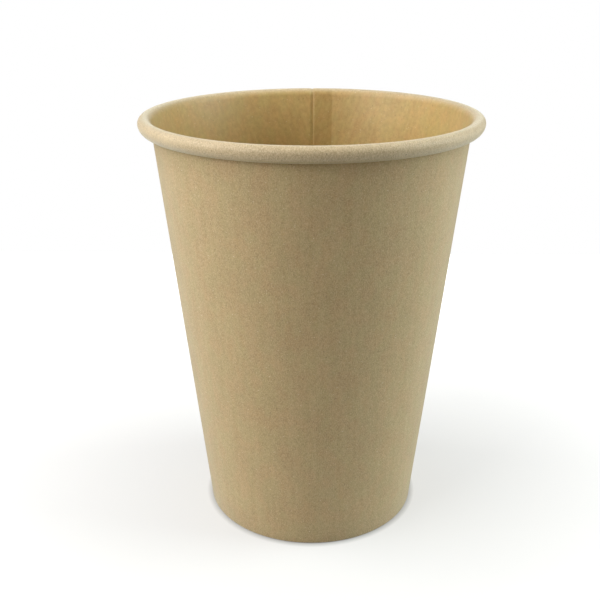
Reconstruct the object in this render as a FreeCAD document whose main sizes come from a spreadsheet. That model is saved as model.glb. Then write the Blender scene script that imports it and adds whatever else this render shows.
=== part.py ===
import FreeCAD, Part
import math
import os
import Sketcher
from FreeCAD import Placement, Rotation, Vector

# A cup for hot drinks, about 360 ml, made of two pieces of kraft board.
# The sidewall is a fan-shaped blank: wrapped into a cone with a lapped seam, rolled outwards
# at the top into a rim, and folded inwards and up at the foot into a hem.
# The bottom is a disc whose skirt is turned down and gripped between the wall and the hem.
# Millimetres and degrees. The origin is the middle of the foot, +Z is up, the seam is at +Y.

SIZES = (
    ("cup_height", 112.0, "from the table to the top of the rim"),
    ("rim_diameter", 89.0, "across the outside of the rolled rim"),
    ("foot_diameter", 59.0, "across the wall's outside, carried down to the table"),
    ("board", 0.38, "thickness of the sidewall's board"),
    ("crown_bend", 1.6, "outer radius of the roll's upper half"),
    ("bead_bend", 2.5, "outer radius of the roll's lower half"),
    ("tuck_bend", 0.1, "radius inside the roll's last bend, where the board is double"),
    ("tuck_gap", 0.04, "gap between the wall and the roll's tucked end"),
    ("tuck_height", 1.8, "from the roll's underside up to its cut edge"),
    ("fold_bend", 0.05, "radius inside the fold at the foot"),
    ("hem_height", 7.5, "from the table to the hem's cut edge"),
    ("seam_angle", 90.0, "direction of the blank's inner cut edge, turned from +X"),
    ("lap_angle", 7.9, "turn over which the sidewall is two boards thick"),
    ("step_angle", 2.0, "turn over which the outer board climbs onto the inner one"),
    ("bottom_board", 0.30, "thickness of the bottom's board"),
    ("recess_depth", 9.0, "from the table to the bottom's underside"),
    ("skirt_bend", 0.5, "radius inside the bend between the bottom and its skirt"),
    ("skirt_gap", 0.05, "gap on each side of the skirt, for the sealing film"),
    ("skirt_end_gap", 0.4, "gap between the skirt's cut edge and the fold below it"),
)

# What follows from the sizes. The wall runs straight from the edge of the foot to where it
# just clears the roll's tucked end, so that a wider roll makes a steeper wall.
DERIVED = (
    ("rim_radius", "Sizes.rim_diameter / 2"),
    ("foot_radius", "Sizes.foot_diameter / 2"),
    ("crown_centre", "Derived.rim_radius - Sizes.crown_bend"),
    ("bead_centre", "Derived.rim_radius - Sizes.bead_bend"),
    ("roll_middle", "Sizes.cup_height - Sizes.crown_bend"),
    ("roll_underside", "Derived.roll_middle - Sizes.bead_bend"),
    ("tuck_radius", "Sizes.tuck_bend + 2 * Sizes.board"),
    ("tuck_middle", "Derived.roll_underside + Derived.tuck_radius"),
    ("tuck_run", "Derived.bead_centre - Derived.foot_radius"),
    ("tuck_reach", "sqrt(Derived.tuck_run ^ 2 + Derived.tuck_middle ^ 2)"),
    ("wall_angle", "(atan(Derived.tuck_run / Derived.tuck_middle)"
                   " - asin((Derived.tuck_radius + Sizes.tuck_gap) / Derived.tuck_reach)) / 1deg"),
    ("slant", "1 / cos(Derived.wall_angle)"),
    ("skirt_foot", "Derived.foot_radius - (Sizes.board + Sizes.skirt_gap) * Derived.slant"),
    ("pocket", "Sizes.bottom_board + 2 * Sizes.skirt_gap"),
)

# A layer counts boards from the face that the drink touches: its face is layer 0, the back of
# the same board is layer 1, and the back of the board that laps over it is layer 2.
WALL_FOOT = "Derived.foot_radius - Sizes.board * (1 - {layer}) * Derived.slant"
HEM_FOOT = "Derived.foot_radius - (Sizes.board * (1 + {layer}) + Derived.pocket) * Derived.slant"
CROWN = "Sizes.crown_bend - {layer} * Sizes.board"
BEAD = "Sizes.bead_bend - {layer} * Sizes.board"
TUCK = "Derived.tuck_radius - {layer} * Sizes.board"
WALL_RISE = "90 - Derived.wall_angle"
TAIL_TOP = "Derived.roll_underside + Sizes.tuck_height"

# Each bend is drawn as equal chords of its arc, because full tori would give the thin board
# some 47,000 facets in place of 15,000. The board's inner face shows on the rim and gets more.
CHORD_COUNTS = {
    "inner": {"fold_count": 1, "roll_count": 4, "tuck_count": 2, "skirt_count": 2},
    "outer": {"fold_count": 2, "roll_count": 3, "tuck_count": 2, "skirt_count": 2},
}

# The places on a piece of a sketch, and the sketch's own origin and axes.
START, END, MIDDLE = 1, 2, 3
ORIGIN = (-1, 1)
TABLE_LINE = -1
AXIS_LINE = -2

doc = FreeCAD.newDocument("PaperCup")


def make_sizes():
    """The spreadsheet of driving dimensions, one named cell each."""
    sheet = doc.addObject("Spreadsheet::Sheet", "Sizes")
    for row, (alias, value, meaning) in enumerate(SIZES, start=1):
        sheet.set(f"A{row}", meaning)
        sheet.set(f"B{row}", str(value))
        sheet.setAlias(f"B{row}", alias)
    doc.recompute()


def make_derived():
    """The values that follow from the driving dimensions."""
    derived = doc.addObject("App::VarSet", "Derived")
    for name, expression in DERIVED:
        derived.addProperty("App::PropertyFloat", name)
        derived.setExpression(name, expression)
        doc.recompute()


def role(body, name):
    """One of a body's own origin planes or axes."""
    return next(item for item in body.Origin.OriginFeatures if item.Role == name)


def add_body(label):
    """An empty body, whose label names its file."""
    body = doc.addObject("PartDesign::Body", label)
    body.Label = label
    return body


def add_sketch(body, name, turn):
    """An upright sketch through the cup's axis, turned about it: across is radius, up is height."""
    sketch = body.newObject("Sketcher::SketchObject", name)
    sketch.AttachmentSupport = [(role(body, "XZ_Plane"), "")]
    sketch.MapMode = "FlatFace"
    sketch.AttachmentOffset = Placement(Vector(), Rotation(Vector(0, 1, 0), 1))
    sketch.setExpression("AttachmentOffset.Rotation.Angle", turn)
    doc.recompute()
    return sketch


def amount(sketch, expression):
    """What an expression is worth now, in millimetres or degrees."""
    worth = sketch.evalExpression(expression)
    return getattr(worth, "Value", worth)


def bind(sketch, kind, places, name, expression):
    """Add a dimension that follows an expression."""
    worth = amount(sketch, expression)
    if kind == "Angle":
        worth = math.radians(worth)
    index = sketch.addConstraint(Sketcher.Constraint(kind, *places, worth))
    sketch.renameConstraint(index, name)
    sketch.setExpression(f"Constraints.{name}", expression)


def rule(sketch, kind, *places):
    """Add a relation, such as tangent or parallel."""
    sketch.addConstraint(Sketcher.Constraint(kind, *places))


def add_line(sketch, start, end):
    """A straight piece of an outline."""
    return sketch.addGeometry(Part.LineSegment(Vector(*start), Vector(*end)), False)


def add_bend(sketch, centre, radius, first, last):
    """The guide arc of a bend, anticlockwise from one direction to the other."""
    circle = Part.Circle(Vector(*centre), Vector(0, 0, 1), radius)
    arc = Part.ArcOfCircle(circle, math.radians(first), math.radians(last))
    return sketch.addGeometry(arc, True)


def draw_chords(sketch, bend, count):
    """Draw a bend's guide arc as equal chords, from its start to its end."""
    arc = sketch.Geometry[bend]
    step = (arc.LastParameter - arc.FirstParameter) / count
    points = [arc.value(arc.FirstParameter + step * place) for place in range(count + 1)]
    chords = [add_line(sketch, (a.x, a.y), (b.x, b.y)) for a, b in zip(points, points[1:])]
    rule(sketch, "Coincident", chords[0], START, bend, START)
    rule(sketch, "Coincident", chords[-1], END, bend, END)
    for near, far in zip(chords, chords[1:]):
        rule(sketch, "Coincident", near, END, far, START)
        rule(sketch, "PointOnObject", near, END, bend)
        rule(sketch, "Equal", near, far)


def set_foot(sketch, line, name, expression):
    """Fix where a line, carried down, meets the table."""
    foot = sketch.addGeometry(Part.Point(Vector(amount(sketch, expression), 0)), True)
    rule(sketch, "PointOnObject", foot, START, line)
    rule(sketch, "PointOnObject", foot, START, TABLE_LINE)
    bind(sketch, "DistanceX", (*ORIGIN, foot, START), name, expression)


def join_smoothly(sketch, pieces):
    """Make each piece of a path tangent to the next, end to end."""
    for (first, _, leave), (second, arrive, _) in zip(pieces, pieces[1:]):
        rule(sketch, "Tangent", first, leave, second, arrive)


def close_edge(sketch, first, second, place):
    """Draw the board's cut edge, from one face's end to the other's."""
    near = sketch.getPoint(first, place)
    far = sketch.getPoint(second, place)
    edge = add_line(sketch, (near.x, near.y), (far.x, far.y))
    rule(sketch, "Coincident", edge, START, first, place)
    rule(sketch, "Coincident", edge, END, second, place)


def draw_face(sketch, side, layer, fold_floor, fold_bend):
    """Draw one face of the sidewall's board: down the hem, round the foot, up the wall and
    over the roll to its tucked tail. Give back the two lines that end it, hem and tail."""
    tilt = amount(sketch, "Derived.wall_angle")
    lean = math.tan(math.radians(tilt))
    hem_foot = HEM_FOOT.format(layer=layer)
    wall_foot = WALL_FOOT.format(layer=layer)
    floor = amount(sketch, fold_floor)
    bend = amount(sketch, fold_bend)
    hem_top = amount(sketch, "Sizes.hem_height")
    crown = (amount(sketch, "Derived.crown_centre"), amount(sketch, "Derived.roll_middle"))
    bead = (amount(sketch, "Derived.bead_centre"), crown[1])
    tuck = (bead[0], amount(sketch, "Derived.tuck_middle"))
    crown_bend = amount(sketch, CROWN.format(layer=layer))
    bead_bend = amount(sketch, BEAD.format(layer=layer))
    tuck_bend = amount(sketch, TUCK.format(layer=layer))

    # Where the pieces start, close to where the rules below settle them.
    rise = floor + bend
    hem_at, wall_at = amount(sketch, hem_foot), amount(sketch, wall_foot)
    hem_low = (hem_at + lean * rise, rise)
    wall_low = (wall_at + lean * rise, rise)
    top = amount(sketch, f"Sizes.cup_height - {layer} * Sizes.board")
    flare = crown[0] - wall_at - lean * top
    flare /= 1 / math.cos(math.radians(tilt)) - lean
    neck = (wall_at + lean * (top - flare), top - flare)
    tail_rise = amount(sketch, TAIL_TOP) - tuck[1]
    tail_low = (tuck[0] - tuck_bend, tuck[1])
    tail_top = (tail_low[0] + lean * tail_rise, tuck[1] + tail_rise)

    hem_line = add_line(sketch, (hem_at + lean * hem_top, hem_top), hem_low)
    heel_arc = add_bend(sketch, (hem_low[0] + bend, rise), bend, 180, 270)
    land_line = add_line(sketch, (hem_low[0] + bend, floor), (wall_low[0] - bend, floor))
    toe_arc = add_bend(sketch, (wall_low[0] - bend, rise), bend, 270, 360 - tilt)
    wall_line = add_line(sketch, wall_low, neck)
    flare_arc = add_bend(sketch, (crown[0], top - flare), flare, 90, 180 - tilt)
    crown_arc = add_bend(sketch, crown, crown_bend, 0, 90)
    bead_arc = add_bend(sketch, bead, bead_bend, 270, 360)
    tuck_arc = add_bend(sketch, tuck, tuck_bend, 180 - tilt, 270)
    tail_line = add_line(sketch, tail_low, tail_top)

    path = [(piece, START, END) for piece in (hem_line, heel_arc, land_line, toe_arc, wall_line)]
    path += [(piece, END, START) for piece in (flare_arc, crown_arc, bead_arc, tuck_arc)]
    path.append((tail_line, START, END))
    join_smoothly(sketch, path)

    bind(sketch, "Angle", (wall_line,), f"wall_rise_{side}", WALL_RISE)
    rule(sketch, "Parallel", hem_line, wall_line)
    rule(sketch, "Parallel", tail_line, wall_line)
    rule(sketch, "Horizontal", land_line)
    rule(sketch, "Equal", heel_arc, toe_arc)
    rule(sketch, "Vertical", flare_arc, MIDDLE, crown_arc, MIDDLE)
    rule(sketch, "Horizontal", crown_arc, MIDDLE, bead_arc, MIDDLE)
    rule(sketch, "Vertical", bead_arc, MIDDLE, tuck_arc, MIDDLE)
    set_foot(sketch, wall_line, f"wall_foot_{side}", wall_foot)
    set_foot(sketch, hem_line, f"hem_foot_{side}", hem_foot)
    for kind, places, name, expression in (
        ("Radius", (heel_arc,), "fold_bend", fold_bend),
        ("Radius", (crown_arc,), "crown_bend", CROWN.format(layer=layer)),
        ("Radius", (tuck_arc,), "tuck_bend", TUCK.format(layer=layer)),
        ("DistanceX", (*ORIGIN, crown_arc, MIDDLE), "crown_centre", "Derived.crown_centre"),
        ("DistanceX", (*ORIGIN, bead_arc, MIDDLE), "bead_centre", "Derived.bead_centre"),
        ("DistanceY", (*ORIGIN, crown_arc, MIDDLE), "roll_middle", "Derived.roll_middle"),
        ("DistanceY", (*ORIGIN, land_line, START), "fold_floor", fold_floor),
        ("DistanceY", (*ORIGIN, hem_line, START), "hem_height", "Sizes.hem_height"),
        ("DistanceY", (*ORIGIN, tail_line, END), "tail_height", TAIL_TOP),
    ):
        bind(sketch, kind, places, f"{name}_{side}", expression)

    doc.recompute()
    for count, arcs in (("roll_count", (flare_arc, crown_arc, bead_arc)),
                        ("fold_count", (heel_arc, toe_arc)), ("tuck_count", (tuck_arc,))):
        for arc in arcs:
            draw_chords(sketch, arc, CHORD_COUNTS[side][count])
    return hem_line, tail_line


def add_board_section(body, name, turn, inner, outer):
    """The closed section of the sidewall between two of its layers, at one turn of the cup.

    The fold stays one board thick at the table, so that the cup stands level on its seam too.
    """
    sketch = add_sketch(body, name, turn)
    inner_hem, inner_tail = draw_face(sketch, "inner", inner, "Sizes.board", "Sizes.fold_bend")
    outer_hem, outer_tail = draw_face(sketch, "outer", outer, "0 mm", "Sizes.fold_bend + Sizes.board")
    close_edge(sketch, inner_hem, outer_hem, START)
    close_edge(sketch, inner_tail, outer_tail, END)
    doc.recompute()
    return sketch


def add_revolution(body, name, sketch, turn):
    """Turn a section about the cup's axis."""
    revolution = body.newObject("PartDesign::Revolution", name)
    revolution.Profile = sketch
    revolution.ReferenceAxis = (role(body, "Z_Axis"), [""])
    revolution.setExpression("Angle", turn)
    doc.recompute()


def make_sidewall():
    """The wrapped blank. One board runs most of the way round, then climbs over a narrow step
    onto its own other edge and lies on it across the lap, in the roll and the hem too."""
    body = add_body("sidewall")
    single = add_board_section(body, "SingleBoard", "Sizes.seam_angle + Sizes.step_angle", 0, 1)
    lapped = add_board_section(body, "LappedBoards", "Sizes.seam_angle - Sizes.lap_angle", 0, 2)
    climbed = add_board_section(body, "ClimbedBoard", "Sizes.seam_angle", 1, 2)
    add_revolution(body, "Wrap", single, "360 - Sizes.lap_angle - Sizes.step_angle")
    add_revolution(body, "Lap", lapped, "Sizes.lap_angle")
    step = body.newObject("PartDesign::AdditiveLoft", "Step")
    step.Profile = climbed
    step.Sections = [single]
    step.Ruled = True
    doc.recompute()
    return body


def make_bottom():
    """The bottom: a flat disc, bent down at its edge into a skirt that follows the wall."""
    body = add_body("bottom_disc")
    sketch = add_sketch(body, "BottomSection", "0")
    tilt = amount(sketch, "Derived.wall_angle")
    lean = math.tan(math.radians(tilt))
    skirt_end = "Sizes.board + Sizes.skirt_end_gap"
    low = amount(sketch, skirt_end)
    under = amount(sketch, "Sizes.recess_depth")
    thick = amount(sketch, "Sizes.bottom_board")
    bend = amount(sketch, "Sizes.skirt_bend")
    edge = amount(sketch, "Derived.skirt_foot")
    centre = (edge + lean * under - thick - bend, under - bend)

    ends = []
    for side, deep, height in (("outer", thick, "Sizes.recess_depth + Sizes.bottom_board"),
                               ("inner", 0, "Sizes.recess_depth")):
        level = amount(sketch, height)
        radius = bend + deep
        reach = centre[0] + radius
        disc_line = add_line(sketch, (0, level), (centre[0], level))
        bend_arc = add_bend(sketch, centre, radius, -tilt, 90)
        skirt_line = add_line(sketch, (reach, centre[1]), (reach - lean * (centre[1] - low), low))
        join_smoothly(sketch, [(disc_line, START, END), (bend_arc, END, START), (skirt_line, START, END)])
        rule(sketch, "Horizontal", disc_line)
        rule(sketch, "PointOnObject", disc_line, START, AXIS_LINE)
        bind(sketch, "DistanceY", (*ORIGIN, disc_line, START), f"level_{side}", height)
        bind(sketch, "DistanceY", (*ORIGIN, skirt_line, END), f"skirt_end_{side}", skirt_end)
        ends.append((disc_line, bend_arc, skirt_line))

    (outer_disc, outer_arc, outer_skirt), (inner_disc, inner_arc, inner_skirt) = ends
    rule(sketch, "Coincident", outer_arc, MIDDLE, inner_arc, MIDDLE)
    rule(sketch, "Parallel", outer_skirt, inner_skirt)
    bind(sketch, "Angle", (outer_skirt,), "skirt_fall", "-90 - Derived.wall_angle")
    bind(sketch, "Radius", (inner_arc,), "skirt_bend", "Sizes.skirt_bend")
    set_foot(sketch, outer_skirt, "skirt_foot", "Derived.skirt_foot")
    doc.recompute()
    draw_chords(sketch, outer_arc, CHORD_COUNTS["outer"]["skirt_count"])
    draw_chords(sketch, inner_arc, CHORD_COUNTS["inner"]["skirt_count"])
    close_edge(sketch, outer_disc, inner_disc, START)
    close_edge(sketch, outer_skirt, inner_skirt, END)
    add_revolution(body, "Disc", sketch, "360")
    return body


def check(pieces):
    """Stop if any object failed, or a piece isn't one sound solid."""
    for item in doc.Objects:
        if {"Invalid", "Error"} & set(item.State):
            raise RuntimeError(f"{item.Label} failed: {item.State}")
        if item.isDerivedFrom("Sketcher::SketchObject") and not item.FullyConstrained:
            raise RuntimeError(f"{item.Label} isn't fully constrained")
    for piece in pieces:
        shape = piece.Shape
        if shape.isNull() or not shape.isValid() or len(shape.Solids) != 1:
            raise RuntimeError(f"{piece.Label} isn't one valid solid")


make_sizes()
make_derived()
pieces = [make_sidewall(), make_bottom()]
doc.recompute()
check(pieces)
os.makedirs("parts", exist_ok=True)
for piece in pieces:
    piece.Shape.exportStep(f"parts/{piece.Label}.step")
    print(piece.Label, round(piece.Shape.Volume, 1), "mm3")
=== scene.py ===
import math

import bpy
import numpy as np
from mathutils import Matrix, Vector


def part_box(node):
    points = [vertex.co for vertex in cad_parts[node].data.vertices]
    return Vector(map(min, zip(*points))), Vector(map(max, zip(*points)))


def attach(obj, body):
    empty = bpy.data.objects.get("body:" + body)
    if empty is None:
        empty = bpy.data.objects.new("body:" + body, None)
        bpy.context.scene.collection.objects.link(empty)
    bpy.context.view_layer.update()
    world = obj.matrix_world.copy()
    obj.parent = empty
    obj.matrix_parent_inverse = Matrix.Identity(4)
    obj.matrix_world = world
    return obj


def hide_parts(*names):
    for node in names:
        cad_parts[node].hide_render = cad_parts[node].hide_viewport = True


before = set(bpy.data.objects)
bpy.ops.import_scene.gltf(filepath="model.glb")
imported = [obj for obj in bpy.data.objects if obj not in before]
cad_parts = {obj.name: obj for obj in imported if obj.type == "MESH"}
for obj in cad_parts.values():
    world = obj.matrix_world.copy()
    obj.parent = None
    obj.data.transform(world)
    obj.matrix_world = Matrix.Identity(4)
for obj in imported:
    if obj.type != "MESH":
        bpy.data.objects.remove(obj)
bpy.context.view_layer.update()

# Sidewall. One fan-shaped blank of kraft board, 0.38 mm thick with a thin film on the face that
# the drink touches. It is wrapped into a cone and lapped at the back, its top edge is rolled
# outwards into the rim, and its lower edge is folded in and up over the bottom's skirt.
MM = 0.001
BOARD = 0.38 * MM
FILM = 0.008 * MM
FOOT_RADIUS = 29.5 * MM
CROWN_BEND = 1.6 * MM
BEAD_BEND = 2.5 * MM
TUCK_BEND = 0.1 * MM + 2 * BOARD
TUCK_GAP = 0.04 * MM
TUCK_HEIGHT = 1.8 * MM
FOLD_BEND = 0.05 * MM
HEM_HEIGHT = 7.5 * MM
SKIRT_GAP = 0.05 * MM
BOTTOM_BOARD = 0.30 * MM

# The seam, in degrees round the cup: where it is, how wide the lap is, and over what turn the
# blank climbs onto its own start. The clamp presses these shares out of the two boards, and
# presses the lap flat from twice this height up. The knife leaves the cut edge rounded.
SEAM = 90.0
LAP = 7.9
STEP = 2.0
CLIMB = 0.85 * STEP
LAP_FADE = 0.4
PRESSED_WALL = 0.25
PRESSED_ROLL = 0.5
FLAT_FROM = 12 * MM
EDGE_ROUND = 0.14 * MM
EDGE_TURN = 0.5

# Where the roll begins, its lumps, and the grooves of the wheel that seals the hem.
ROLL_START = 2.0 * MM
ROLL_FADE = 1.2 * MM
LUMP = 0.05 * MM
LUMP_SEED = 7
KNURLS = 80
KNURL_DEPTH = 0.07 * MM
KNURL_FADE = 1.2 * MM

# How finely the mesh is cut, and from what angle its edges look sharp.
HEM_POINTS = 6
FINE_TURN = 0.6
WALL_STEPS = 640
SHARP_FROM = math.radians(50)

low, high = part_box("sidewall")
CUP_HEIGHT = high[2]
RIM_RADIUS = min(high[0], high[1], -low[0], -low[1])

roll_middle = CUP_HEIGHT - CROWN_BEND
crown_centre = RIM_RADIUS - CROWN_BEND
bead_centre = RIM_RADIUS - BEAD_BEND
tuck_middle = roll_middle - BEAD_BEND + TUCK_BEND
tilt = math.atan2(bead_centre - FOOT_RADIUS, tuck_middle) - math.asin(
    (TUCK_BEND + TUCK_GAP) / math.hypot(bead_centre - FOOT_RADIUS, tuck_middle))
TILT = math.degrees(tilt)
LEAN = math.tan(tilt)
SLANT = 1 / math.cos(tilt)


def along_line(start, end, direction, count):
    """Even points on a straight line, with one normal, whose direction is in degrees."""
    share = np.linspace(0, 1, count)[:, None]
    points = np.array(start) * (1 - share) + np.array(end) * share
    turn = math.radians(direction)
    return points, np.tile((math.cos(turn), math.sin(turn)), (count, 1))


def along_arc(centre, radius, first, last, facing, count):
    """Even points on a circle, centre + radius * spoke, where the spoke is (cos, sin) of a
    direction that runs from first to last. The normal is the spoke times facing, which is 1
    away from the centre and -1 towards it."""
    turn = np.radians(np.linspace(first, last, count))
    spoke = np.stack([np.cos(turn), np.sin(turn)], axis=1)
    return np.array(centre) + radius * spoke, facing * spoke


def board_path():
    """The face that the drink touches, as points (radius, height) with normals into the board:
    down the hem, round the fold, up the wall, over the roll and up its tucked tail."""
    rise = BOARD + FOLD_BEND
    wall_at = FOOT_RADIUS - BOARD * SLANT
    hem_at = FOOT_RADIUS - (BOARD + BOTTOM_BOARD + 2 * SKIRT_GAP) * SLANT
    heel = (hem_at + LEAN * rise + FOLD_BEND * SLANT, rise)
    toe = (wall_at + LEAN * rise - FOLD_BEND * SLANT, rise)
    flare_bend = (crown_centre - wall_at - LEAN * CUP_HEIGHT) / (SLANT - LEAN)
    flare = (crown_centre, CUP_HEIGHT - flare_bend)
    pieces = [
        along_line((hem_at + LEAN * HEM_HEIGHT, HEM_HEIGHT),
                   (hem_at + LEAN * rise, rise), 180 - TILT, HEM_POINTS),
        along_arc(heel, FOLD_BEND, 180 - TILT, 270, 1, 5),
        along_line((heel[0], BOARD), (toe[0], BOARD), 270, 3),
        along_arc(toe, FOLD_BEND, 270, 360 - TILT, 1, 5),
        along_line((toe[0] + FOLD_BEND * math.cos(tilt), rise - FOLD_BEND * math.sin(tilt)),
                   (flare[0] - flare_bend * math.cos(tilt),
                    flare[1] + flare_bend * math.sin(tilt)), -TILT, 14),
        along_arc(flare, flare_bend, 180 - TILT, 90, -1, 10),
        along_arc((crown_centre, roll_middle), CROWN_BEND, 90, 0, -1, 10),
        along_arc((bead_centre, roll_middle), BEAD_BEND, 0, -90, -1, 11),
        along_arc((bead_centre, tuck_middle), TUCK_BEND, -90, -180 - TILT, -1, 7),
    ]
    tail = pieces[-1][0][-1]
    top = roll_middle - BEAD_BEND + TUCK_HEIGHT
    pieces.append(along_line(tail, (tail[0] + LEAN * (top - tail[1]), top), -TILT, 3))
    points = [pieces[0][0]] + [piece[0][1:] for piece in pieces[1:]]
    normals = [pieces[0][1]] + [piece[1][1:] for piece in pieces[1:]]
    return np.concatenate(points), np.concatenate(normals)


def ease(x):
    """A smooth step from 0 to 1 while x goes from 0 to 1: 3 x^2 - 2 x^3."""
    x = np.clip(x, 0, 1)
    return x * x * (3 - 2 * x)


def rolled_share(path):
    """How far each point of the path belongs to the roll, from 0 on the wall to 1 over the
    crown: a smooth step in height times a smooth step in radius."""
    up = ease((path[:, 1] - roll_middle + BEAD_BEND) / ROLL_FADE)
    return up * ease((path[:, 0] - crown_centre + ROLL_START) / ROLL_FADE)


def uneven(turn):
    """The roll's small lumps round the rim, from 0 to 0.1 mm: a sum of sines with whole
    numbers of waves and seeded phases, so that it closes after a full turn."""
    phases = np.random.default_rng(LUMP_SEED).uniform(0, 2 * math.pi, 9)
    waves = np.array([2, 3, 5, 8, 13, 21, 34, 47, 61])
    heights = np.array([1.0, 0.9, 0.8, 0.7, 0.6, 0.5, 0.5, 0.4, 0.4])
    sines = np.sin(np.radians(turn)[:, None] * waves + phases) * heights
    return LUMP * (1 + sines.sum(axis=1) / heights.sum())


def knurled(path, turn):
    """How deep the sealing wheel's grooves go into the hem's free face: a raised cosine round
    the foot, which fades out at the hem's two ends."""
    height = path[:, 1]
    share = ease((HEM_HEIGHT - height) / KNURL_FADE) * ease((height - BOARD) / KNURL_FADE)
    share = np.where(np.arange(len(path)) < HEM_POINTS, share, 0)
    return KNURL_DEPTH * share[None, :] * (1 - np.cos(KNURLS * np.radians(turn)))[:, None] / 2


def turned_round(section, azimuth):
    """Sections of (radius, height), one for each azimuth, as xyz: radius * cos, radius * sin
    and height."""
    across = section[:, :, 0]
    azimuth = azimuth[:, None]
    return np.stack([across * np.cos(azimuth), across * np.sin(azimuth), section[:, :, 1]],
                    axis=2)


def wrapped_board(around):
    """The wrapped blank as points [turn, place round the section, xyz].

    A turn runs clockwise from the inner cut edge at the seam, so it ends one lap past a full
    round. A face is the path plus its normal times its layer, in boards. The layer grows by
    one where the blank climbs onto its own start. Above the foot the lap is pressed flat, so
    its radius goes from the arc to the arc's chord. In the fold the height is squeezed, so
    that one board and two stand on the same table.
    """
    path, normal = board_path()
    turn = np.concatenate([np.linspace(0, FINE_TURN, 5, endpoint=False),
                           np.linspace(FINE_TURN, LAP + 1, 24, endpoint=False),
                           np.linspace(LAP + 1, 360 - STEP, around, endpoint=False),
                           np.linspace(360 - STEP, 360 + LAP_FADE, 16, endpoint=False),
                           np.linspace(360 + LAP_FADE, 360 + LAP, 20)])
    climb = ease((turn - 360 + CLIMB) / CLIMB)
    lapped = 1 - ease((turn - LAP) / LAP_FADE)
    rounded = EDGE_ROUND / BOARD * (1 - ease(turn / EDGE_TURN))
    from_middle = (turn + LAP) % 360 - LAP - LAP / 2
    chord = math.cos(math.radians(LAP / 2)) / np.cos(np.radians(from_middle)) - 1
    chord = np.where((turn <= LAP) | (turn >= 360), chord, 0)
    flattened = path[None, :, 0] * chord[:, None] * ease(path[:, 1] / FLAT_FROM - 1)[None, :]
    folded = np.clip((-normal[:, 1] - math.sin(tilt)) / (1 - math.sin(tilt)), 0, 1)
    squeeze = (climb / 2, 1 - lapped / 2)
    rolled = rolled_share(path)[None, :]
    pressed = np.maximum(climb, lapped)[:, None] * (
        PRESSED_WALL + (PRESSED_ROLL - PRESSED_WALL) * rolled)
    lumps = rolled * uneven(turn)[:, None]
    grooves = knurled(path, turn)
    faces = []
    for side in (0, 1):
        layer = (climb + side + rounded * (1 - side))[:, None] * (1 - pressed)
        across = path[None, :, 0] + normal[None, :, 0] * (BOARD * layer + FILM * climb[:, None])
        across = across - lumps + flattened + side * grooves
        drop = (1 - folded) * layer + folded * squeeze[side][:, None]
        up = path[None, :, 1] + normal[None, :, 1] * BOARD * drop
        faces.append(np.stack([across, up], axis=2))
    section = np.concatenate([faces[0], faces[1][:, ::-1]], axis=1)
    return turned_round(section, np.radians(SEAM - turn)), path, turn, lapped


def blank_places(path, turn):
    """Where each point lay on the flat blank, in metres. The blank is a ring sector: its radius
    is the distance along the board from the cone's tip, and its turn is the cup's, times the
    sine of the wall's tilt."""
    steps = np.linalg.norm(np.diff(path, axis=0), axis=1)
    length = np.concatenate([[0], np.cumsum(steps)])
    reach = FOOT_RADIUS / math.sin(tilt) - HEM_HEIGHT + length
    spread = np.radians(turn - turn[-1] / 2) * math.sin(tilt)
    across = reach[None, :] * np.sin(spread)[:, None]
    along = reach[None, :] * np.cos(spread)[:, None]
    flat = np.stack([across, along], axis=2)
    return np.concatenate([flat, flat[:, ::-1]], axis=1)


def mesh_from(name, points, quads, flat, materials, slots):
    """A mesh object from arrays: points [n, 3], quads [m, 4], flat places [n, 2] as its UV map,
    and a material slot for each quad."""
    mesh = bpy.data.meshes.new(name)
    mesh.vertices.add(len(points))
    mesh.vertices.foreach_set("co", points.astype(np.float32).ravel())
    mesh.loops.add(quads.size)
    mesh.loops.foreach_set("vertex_index", quads.astype(np.int32).ravel())
    mesh.polygons.add(len(quads))
    mesh.polygons.foreach_set("loop_start", np.arange(0, quads.size, 4, dtype=np.int32))
    mesh.update(calc_edges=True)
    places = mesh.uv_layers.new(name="blank")
    places.data.foreach_set("uv", flat[quads.ravel()].astype(np.float32).ravel())
    for material in materials:
        mesh.materials.append(material)
    mesh.polygons.foreach_set("material_index", slots.astype(np.int32))
    mesh.shade_smooth()
    mesh.set_sharp_from_angle(angle=SHARP_FROM)
    mesh.validate()
    piece = bpy.data.objects.new(name, mesh)
    bpy.context.scene.collection.objects.link(piece)
    return piece


def ring_quads(turns, ring, closed):
    """Quads of a closed ring of points carried along turns, which end in caps or meet. They
    face outwards where the turns run clockwise, seen from above."""
    here = np.arange(turns if closed else turns - 1)[:, None]
    place = np.arange(ring)[None, :]
    ahead, beside = (here + 1) % turns, (place + 1) % ring
    quads = np.stack([here * ring + place, ahead * ring + place,
                      ahead * ring + beside, here * ring + beside], axis=2)
    return quads.reshape(-1, 4)


def cap_quads(start, ring):
    """Quads that close a thin ring of points and face back along the turns: the ring's first
    half is joined to its second half, reversed."""
    near = start + np.arange(ring // 2 - 1)
    far = start + ring - 1 - np.arange(ring // 2 - 1)
    return np.stack([near, near + 1, far - 1, far], axis=1)


def linear(hexcode):
    """An sRGB hex colour as linear red, green, blue and alpha, by the sRGB curve."""
    parts = [int(hexcode[place:place + 2], 16) / 255 for place in (1, 3, 5)]
    return [part / 12.92 if part <= 0.04045 else ((part + 0.055) / 1.055) ** 2.4
            for part in parts] + [1.0]


def add_node(tree, kind, sockets=None, **settings):
    """Add a node. A socket given another node's output is linked, and any other value is set."""
    node = tree.nodes.new(kind)
    for name, value in settings.items():
        setattr(node, name, value)
    for name, value in (sockets or {}).items():
        if isinstance(value, bpy.types.NodeSocket):
            tree.links.new(value, node.inputs[name])
        else:
            node.inputs[name].default_value = value
    return node


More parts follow.
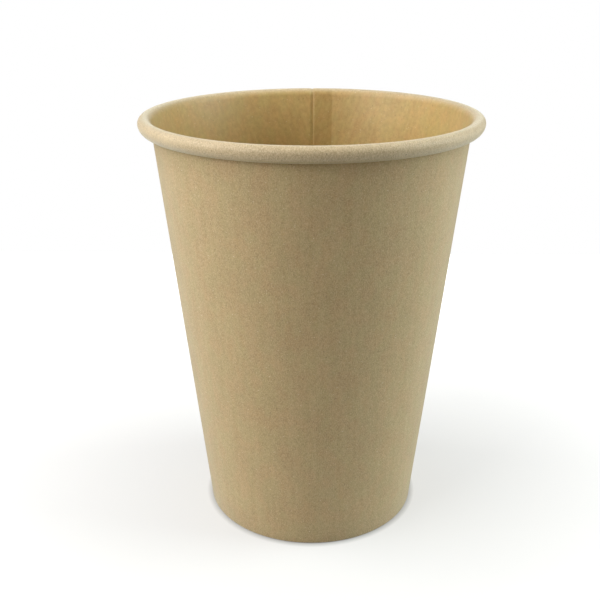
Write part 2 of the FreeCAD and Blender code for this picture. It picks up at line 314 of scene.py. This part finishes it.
FIBRE_IOR = 1.47
SHEEN_ROUGHNESS = 0.45
SHEEN_TINT = "#F6FFF4"
PATTERN_ROUGHNESS = 0.6
# The roll's paler colour: partly the board's own tone and partly a painted sheen.
ROLL_TONE_AND_SHEEN = "#DCC49F"
STRETCHED_DARK = "#9C835A"
STRETCHED_LIGHT = "#EBD8B4"
STRETCHED_GRAIN = 1.5
BARK_COLOUR = "#6E5433"
BLEACHED_FIBRE = "#EFE4C6"
# The lap's painted shade: the light that two boards stop, where one board lets it through.
LAP_PAINTED_SHADE = "#D2C8A8"


def kraft_board(name, warm, cool, dark, light, roughness, sheen, coarse):
    """Unbleached kraft board of bamboo and wood fibre, calendered. Its pulp is cloudy, with
    short fibres that lie mostly along the cup's height, a few dark specks of bark and a few
    pale fibres. The eye sees a soft, dry sheen and no gloss. Over the roll the board is
    stretched, so its grain is rougher there, and its colour is paler: partly its own tone and
    partly a painted sheen. Where the lap's two boards lie together, the inside is darkened by
    painted shade, for the light that one board lets through and two boards stop.
    Coarse is how strong the grain is."""
    material = bpy.data.materials.new(name)
    material.use_nodes = True
    tree = material.node_tree
    shader = tree.nodes["Principled BSDF"]
    place = add_node(tree, "ShaderNodeUVMap", uv_map="blank").outputs["UV"]
    rolled = add_node(tree, "ShaderNodeAttribute", attribute_name="rolled").outputs["Fac"]
    lap = add_node(tree, "ShaderNodeAttribute", attribute_name="lap").outputs["Fac"]

    def pattern(across_mm, along_mm, detail, seed):
        """Smooth noise whose patches are so many millimetres wide and long on the flat blank."""
        scaled = add_node(tree, "ShaderNodeMapping", {
            "Vector": place, "Scale": (1 / (across_mm * MM), 1 / (along_mm * MM), 1),
            "Location": (seed, seed * 1.7, 0)})
        return add_node(tree, "ShaderNodeTexNoise", {
            "Vector": scaled.outputs["Vector"], "Scale": 1.0, "Detail": detail,
            "Roughness": PATTERN_ROUGHNESS}, noise_dimensions="2D").outputs["Fac"]

    def between(value, start, end, low_value, high_value):
        """Map a range of values onto another, held at its ends."""
        return add_node(tree, "ShaderNodeMapRange", {
            "Value": value, "From Min": start, "From Max": end, "To Min": low_value,
            "To Max": high_value}).outputs["Result"]

    def rolling(on_wall, on_roll):
        """A value that goes from the wall's to the roll's."""
        return between(rolled, 0.0, 1.0, on_wall, on_roll)

    def blend(factor, first, second, mode="MIX"):
        """Mix two colours."""
        mix = add_node(tree, "ShaderNodeMix", data_type="RGBA", blend_type=mode)
        for socket, value in (
                (mix.inputs[0], factor), (mix.inputs[6], first), (mix.inputs[7], second)):
            if isinstance(value, bpy.types.NodeSocket):
                tree.links.new(value, socket)
            else:
                socket.default_value = value
        return mix.outputs[2]

    # Width and length in mm. A real fibre is 0.02 to 0.04 mm wide, too fine to show, so the
    # last five are drawn about ten times as coarse, which is what they need to show.
    cloud = pattern(7.0, 11.0, 2.0, 3.1)
    hue = pattern(4.5, 6.0, 1.0, 19.7)
    streak = pattern(1.3, 26.0, 2.0, 31.3)
    mottle = pattern(1.1, 1.5, 2.0, 7.7)
    grain = pattern(0.36, 0.46, 3.0, 11.3)
    fibre = pattern(0.22, 0.70, 1.0, 23.9)
    fluff = pattern(0.26, 0.30, 1.0, 73.9)
    speck = pattern(0.62, 0.78, 1.0, 41.3)
    fleck = pattern(0.80, 0.34, 1.0, 57.1)

    colour = blend(between(hue, 0.35, 0.65, 0.0, 1.0), linear(warm), linear(cool))
    # The roll turns paler: partly its own tone and partly a painted sheen.
    colour = blend(rolling(0.0, 0.85), colour, linear(ROLL_TONE_AND_SHEEN))
    deep = blend(rolling(0.0, 0.8), linear(dark), linear(STRETCHED_DARK))
    pale = blend(rolling(0.0, 0.8), linear(light), linear(STRETCHED_LIGHT))

    # Each row: a pattern, the range of its noise that shows, how much it colours at most, and
    # towards which tone.
    for patches, start, end, share, tone in (
            (cloud, 0.30, 0.70, 0.18, deep),
            (streak, 0.35, 0.65, 0.14, pale),
            (mottle, 0.32, 0.68, 0.26, deep)):
        colour = blend(between(patches, start, end, 0.0, share), colour, tone)
    strength = rolling(coarse, STRETCHED_GRAIN)
    for patches, start, end, share, tone in (
            (grain, 0.28, 0.72, 0.31, deep),
            (fluff, 0.54, 0.68, 0.42, pale),
            (fibre, 0.40, 0.72, 0.28, pale)):
        seen = add_node(tree, "ShaderNodeMath", {
            0: between(patches, start, end, 0.0, share), 1: strength}, operation="MULTIPLY")
        colour = blend(seen.outputs["Value"], colour, tone)
    colour = blend(between(speck, 0.75, 0.82, 0.0, 0.45), colour, linear(BARK_COLOUR))
    colour = blend(between(fleck, 0.785, 0.82, 0.0, 0.70), colour, linear(BLEACHED_FIBRE))
    # Painted shade over the lap, inside: two boards let less light through than one.
    colour = blend(between(lap, 0.0, 1.0, 0.0, 0.40), colour, linear(LAP_PAINTED_SHADE), "MULTIPLY")

    height = add_node(tree, "ShaderNodeMath", {0: grain, 1: fibre}, operation="ADD")
    bump = add_node(tree, "ShaderNodeBump", {
        "Height": height.outputs["Value"], "Strength": 1.0,
        "Distance": rolling(coarse * 0.032 * MM, 0.08 * MM)})
    tree.links.new(colour, shader.inputs["Base Color"])
    tree.links.new(bump.outputs["Normal"], shader.inputs["Normal"])
    shader.inputs["Roughness"].default_value = roughness
    shader.inputs["IOR"].default_value = FIBRE_IOR
    shader.inputs["Sheen Weight"].default_value = sheen
    shader.inputs["Sheen Roughness"].default_value = SHEEN_ROUGHNESS
    shader.inputs["Sheen Tint"].default_value = linear(SHEEN_TINT)
    return material


# Bare board outside: dry and plainly grained, with a soft sheen of raised fibres.
outer_board = kraft_board(
    "kraft_board_outside", warm="#C5A574", cool="#C0AA76", dark="#8D7049", light="#E2CCA2",
    roughness=0.65, sheen=0.44, coarse=1.0)
# The drink's side, under its film: deeper in colour, smoother, and its grain is half hidden.
inner_board = kraft_board(
    "kraft_board_filmed_inside", warm="#CAA667", cool="#C3A967", dark="#8E6F3D",
    light="#D8BE87", roughness=0.46, sheen=0.48, coarse=0.32)
# The cut edge, where the knife opened the pulp: paler and quite matt.
cut_board = kraft_board(
    "kraft_board_cut_edge", warm="#D6C096", cool="#D2C096", dark="#A88F62", light="#E6D8B4",
    roughness=0.85, sheen=0.0, coarse=1.0)

points, path, turn, lapped = wrapped_board(WALL_STEPS)
turns, ring = points.shape[:2]
half = ring // 2
quads = ring_quads(turns, ring, closed=False)
side = np.ones(ring, int)
side[:half - 1] = 0
side[[half - 1, ring - 1]] = 2
slots = np.tile(side, turns - 1)
caps = [cap_quads(0, ring), cap_quads((turns - 1) * ring, ring)[:, ::-1]]
quads = np.concatenate([quads] + caps)
slots = np.concatenate([slots, np.full(len(caps[0]) * 2, 2)])
flat = blank_places(path, turn)
sidewall = mesh_from("wrapped_sidewall", points.reshape(-1, 3), quads, flat.reshape(-1, 2),
                     [inner_board, outer_board, cut_board], slots)


def mark(piece, name, share):
    """Store a value from 0 to 1 for each point, which the board's material reads."""
    attribute = piece.data.attributes.new(name, "FLOAT", "POINT")
    attribute.data.foreach_set("value", share.astype(np.float32).ravel())


rolled = rolled_share(path)
# A share of painted shade on the inside face where the lap's two boards lie together, off the
# roll.
painted_lap_shade = lapped[:, None] * (1 - rolled)[None, :]
mark(sidewall, "lap", np.concatenate([painted_lap_shade, np.zeros((turns, half))], axis=1))
mark(sidewall, "rolled", np.tile(np.concatenate([rolled, np.zeros(half)]), (turns, 1)))
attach(sidewall, "root")
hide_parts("sidewall")


# Bottom. A disc of thinner kraft board, punched flat, with its edge drawn down into a skirt
# that is sealed between the wall and the hem. The skirt puckers slightly where it was drawn.
RECESS = 9.0 * MM
SKIRT_BEND = 0.5 * MM
SKIRT_END_GAP = 0.4 * MM
PUCKERS = 72
PUCKER_DEPTH = 0.02 * MM
PUCKER_FADE = 4 * MM
MIDDLE_RADIUS = 0.4 * MM
BOTTOM_STEPS = 432


def bottom_section():
    """The upper face of the bottom, as points (radius, height) with normals into the board:
    out along the disc, over the bend and down the skirt."""
    skirt_at = FOOT_RADIUS - (BOARD + SKIRT_GAP) * SLANT
    bend = SKIRT_BEND + BOTTOM_BOARD
    up = RECESS - SKIRT_BEND
    centre = (skirt_at + LEAN * up - bend * SLANT, up)
    end = BOARD + SKIRT_END_GAP
    start = (centre[0] + bend * math.cos(tilt), up - bend * math.sin(tilt))
    pieces = [
        along_line((MIDDLE_RADIUS, up + bend), (centre[0], up + bend), 270, 14),
        along_arc(centre, bend, 90, -TILT, -1, 7),
        along_line(start, (start[0] - LEAN * (start[1] - end), end), 180 - TILT, 8),
    ]
    points = [pieces[0][0]] + [piece[0][1:] for piece in pieces[1:]]
    normals = [pieces[0][1]] + [piece[1][1:] for piece in pieces[1:]]
    return np.concatenate(points), np.concatenate(normals)


# The skirt's puckers are a raised cosine round the edge, which grows down the skirt.
path, normal = bottom_section()
ring = len(path) * 2
azimuth = np.linspace(0, 2 * math.pi, BOTTOM_STEPS, endpoint=False)
skirt = np.clip((SKIRT_BEND + RECESS - path[:, 1]) / PUCKER_FADE, 0, 1)
pucker = PUCKER_DEPTH * skirt * (1 - np.cos(azimuth[:, None] * PUCKERS)) / 2
upper = path + normal * pucker[..., None]
lower = upper + normal * BOTTOM_BOARD
section = np.concatenate([upper, lower[:, ::-1]], axis=1)
points = turned_round(section, azimuth).reshape(-1, 3)
flat = points[:, :2]
quads = ring_quads(BOTTOM_STEPS, ring, closed=True)
quads = quads[quads[:, 0] % ring != ring - 1][:, ::-1]

# One point in the middle of each face closes the disc.
middle = len(points) + np.arange(2)
points = np.concatenate([points, [(0, 0, path[0, 1]), (0, 0, path[0, 1] - BOTTOM_BOARD)]])
flat = np.concatenate([flat, np.zeros((2, 2))])
rim_top = np.arange(BOTTOM_STEPS) * ring
rim_under = rim_top + ring - 1
fans = np.concatenate([
    np.stack([np.full(BOTTOM_STEPS, middle[0]), rim_top, np.roll(rim_top, -1)], axis=1),
    np.stack([np.full(BOTTOM_STEPS, middle[1]), np.roll(rim_under, -1), rim_under], axis=1)])
bottom_mesh = bpy.data.meshes.new("bottom_disc_dressed")
bottom_mesh.from_pydata(points.tolist(), [], quads.tolist() + fans.tolist())
places = bottom_mesh.uv_layers.new(name="blank")
corner = np.empty(len(bottom_mesh.loops), np.int32)
bottom_mesh.loops.foreach_get("vertex_index", corner)
places.data.foreach_set("uv", flat[corner].astype(np.float32).ravel())
# Thinner board from another roll: a little paler, and as matt as the outside.
bottom_mesh.materials.append(kraft_board(
    "kraft_board_bottom", warm="#CDAE7B", cool="#C9B17B", dark="#997B4C", light="#DCC596",
    roughness=0.6, sheen=0.20, coarse=0.6))
bottom_mesh.shade_smooth()
bottom_mesh.set_sharp_from_angle(angle=SHARP_FROM)
bottom = bpy.data.objects.new("dressed_bottom", bottom_mesh)
bpy.context.scene.collection.objects.link(bottom)
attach(bottom, "root")
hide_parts("bottom_disc")


# The table, the lamps and the camera. A pale sheet lies under the cup. Five soft lamps light
# the cup's two sides, its left front and its top, and the camera is where the photograph's
# outline puts it.
TABLE_SIZE = 0.44
TABLE_COLOUR = "#A0A09E"
TABLE_ROUGHNESS = 0.9
GLOW_LEAST = 0.52
GLOW_FROM = 30 * MM
GLOW_TO = 200 * MM
# The ring of painted contact shadow round the foot, where the glow is shut off.
CONTACT_SHADOW_FROM = 28.5 * MM
CONTACT_SHADOW_TO = 31.2 * MM


def background_rays(tree):
    """1 for the rays that see the white background: the camera's, and those that a glossy or a
    clear surface sends on."""
    rays = add_node(tree, "ShaderNodeLightPath").outputs
    glossy = add_node(tree, "ShaderNodeMath", {
        0: rays["Is Camera Ray"], 1: rays["Is Glossy Ray"]}, operation="MAXIMUM")
    return add_node(tree, "ShaderNodeMath", {
        0: glossy.outputs["Value"], 1: rays["Is Transmission Ray"]},
        operation="MAXIMUM").outputs["Value"]


def pale_sheet(name):
    """Matt white paper, brightened for those rays alone, so that it shows white round the cup
    and still takes the cup's shadow. The glow grows with the distance from the cup's axis. It
    is shut off under the foot and fades back in over a ring of about 2 mm round it, which
    paints a contact shadow there."""
    material = bpy.data.materials.new(name)
    material.use_nodes = True
    tree = material.node_tree
    shader = tree.nodes["Principled BSDF"]
    shader.inputs["Base Color"].default_value = linear(TABLE_COLOUR)
    shader.inputs["Roughness"].default_value = TABLE_ROUGHNESS
    spot = add_node(tree, "ShaderNodeTexCoord").outputs["Object"]
    away = add_node(tree, "ShaderNodeVectorMath", {0: spot}, operation="LENGTH").outputs["Value"]
    glow = add_node(tree, "ShaderNodeMapRange", {
        "Value": away, "From Min": GLOW_FROM, "From Max": GLOW_TO,
        "To Min": GLOW_LEAST, "To Max": 1.0}).outputs["Result"]
    # Painted contact shadow: no glow under the foot, rising to full over a ring just round it.
    clear = add_node(tree, "ShaderNodeMapRange", {
        "Value": away, "From Min": CONTACT_SHADOW_FROM, "From Max": CONTACT_SHADOW_TO}).outputs["Result"]
    lit = add_node(tree, "ShaderNodeMath", {0: glow, 1: clear}, operation="MULTIPLY")
    seen = add_node(tree, "ShaderNodeMath", {
        0: lit.outputs["Value"], 1: background_rays(tree)}, operation="MULTIPLY")
    tree.links.new(seen.outputs["Value"], shader.inputs["Emission Strength"])
    shader.inputs["Emission Color"].default_value = (1, 1, 1, 1)
    return material


table_mesh = bpy.data.meshes.new("table")
reach = TABLE_SIZE / 2
corners = [(-reach, -reach, 0), (reach, -reach, 0), (reach, reach, 0), (-reach, reach, 0)]
table_mesh.from_pydata(corners, [], [(0, 1, 2, 3)])
table_mesh.materials.append(pale_sheet("white_paper_sweep"))
table = bpy.data.objects.new("table", table_mesh)
bpy.context.scene.collection.objects.link(table)

# White all round, for the same rays alone, so that it adds no diffuse light.
world = bpy.data.worlds.new("studio")
bpy.context.scene.world = world
world.use_nodes = True
tree = world.node_tree
tree.nodes.clear()
backdrop = add_node(tree, "ShaderNodeBackground", {
    "Color": (1, 1, 1, 1), "Strength": background_rays(tree)})
add_node(tree, "ShaderNodeOutputWorld", {"Surface": backdrop.outputs["Background"]})

# Five square softboxes, 0.6 m from the cup: place in metres, power in watts, and tint.
AIM = Vector((0, 0, 60 * MM))
LAMP_SIZE = 0.34
for name, place, power, colour in (
    ("left_softbox", (-0.579, 0.000, 0.215), 0.46, "#F4FFFF"),
    ("left_front_softbox", (-0.445, -0.312, 0.313), 2.42, "#FFFFFD"),
    ("left_high_softbox", (-0.386, 0.000, 0.519), 1.85, "#FFFDFC"),
    ("right_softbox", (0.579, 0.000, 0.215), 2.45, "#F6FFFD"),
    ("right_high_softbox", (0.386, 0.000, 0.519), 1.43, "#FAFFFC"),
):
    lamp = bpy.data.lights.new(name, "AREA")
    lamp.shape = "SQUARE"
    lamp.size = LAMP_SIZE
    lamp.energy = power
    lamp.color = linear(colour)[:3]
    holder = bpy.data.objects.new(name, lamp)
    holder.location = place
    holder.rotation_euler = (AIM - Vector(place)).to_track_quat("-Z", "Y").to_euler()
    bpy.context.scene.collection.objects.link(holder)

# The camera's place and turns, in metres and radians, and its focal length in pixels were
# fitted to the cup's outline in the photograph.
CAMERA_DISTANCE = 231.65 * MM
CAMERA_HEIGHT = 150.69 * MM
CAMERA_DOWN = 0.3737
CAMERA_LEFT = 0.0132
CAMERA_ROLL = -0.0031
CAMERA_ROUND = 0.0150
FOCAL_PIXELS = 889.96
FRAME_PIXELS = 600
SENSOR_MM = 36
forward = Vector((-math.sin(CAMERA_LEFT) * math.cos(CAMERA_DOWN),
                  math.cos(CAMERA_LEFT) * math.cos(CAMERA_DOWN), -math.sin(CAMERA_DOWN)))
level = Vector((math.cos(CAMERA_LEFT), math.sin(CAMERA_LEFT), 0))
upright = level.cross(forward)
across = math.cos(CAMERA_ROLL) * level + math.sin(CAMERA_ROLL) * upright
above = math.cos(CAMERA_ROLL) * upright - math.sin(CAMERA_ROLL) * level
lens = bpy.data.cameras.new("camera")
lens.sensor_width = SENSOR_MM
lens.lens = FOCAL_PIXELS * SENSOR_MM / FRAME_PIXELS
lens.clip_start = 10 * MM
camera = bpy.data.objects.new("camera", lens)
turned = Matrix((across, above, -forward)).transposed().to_4x4()
placed = Matrix.Translation((0, -CAMERA_DISTANCE, CAMERA_HEIGHT)) @ turned
camera.matrix_world = Matrix.Rotation(CAMERA_ROUND, 4, "Z") @ placed
bpy.context.scene.collection.objects.link(camera)
bpy.context.scene.camera = camera
bpy.context.scene.view_settings.view_transform = "Standard"
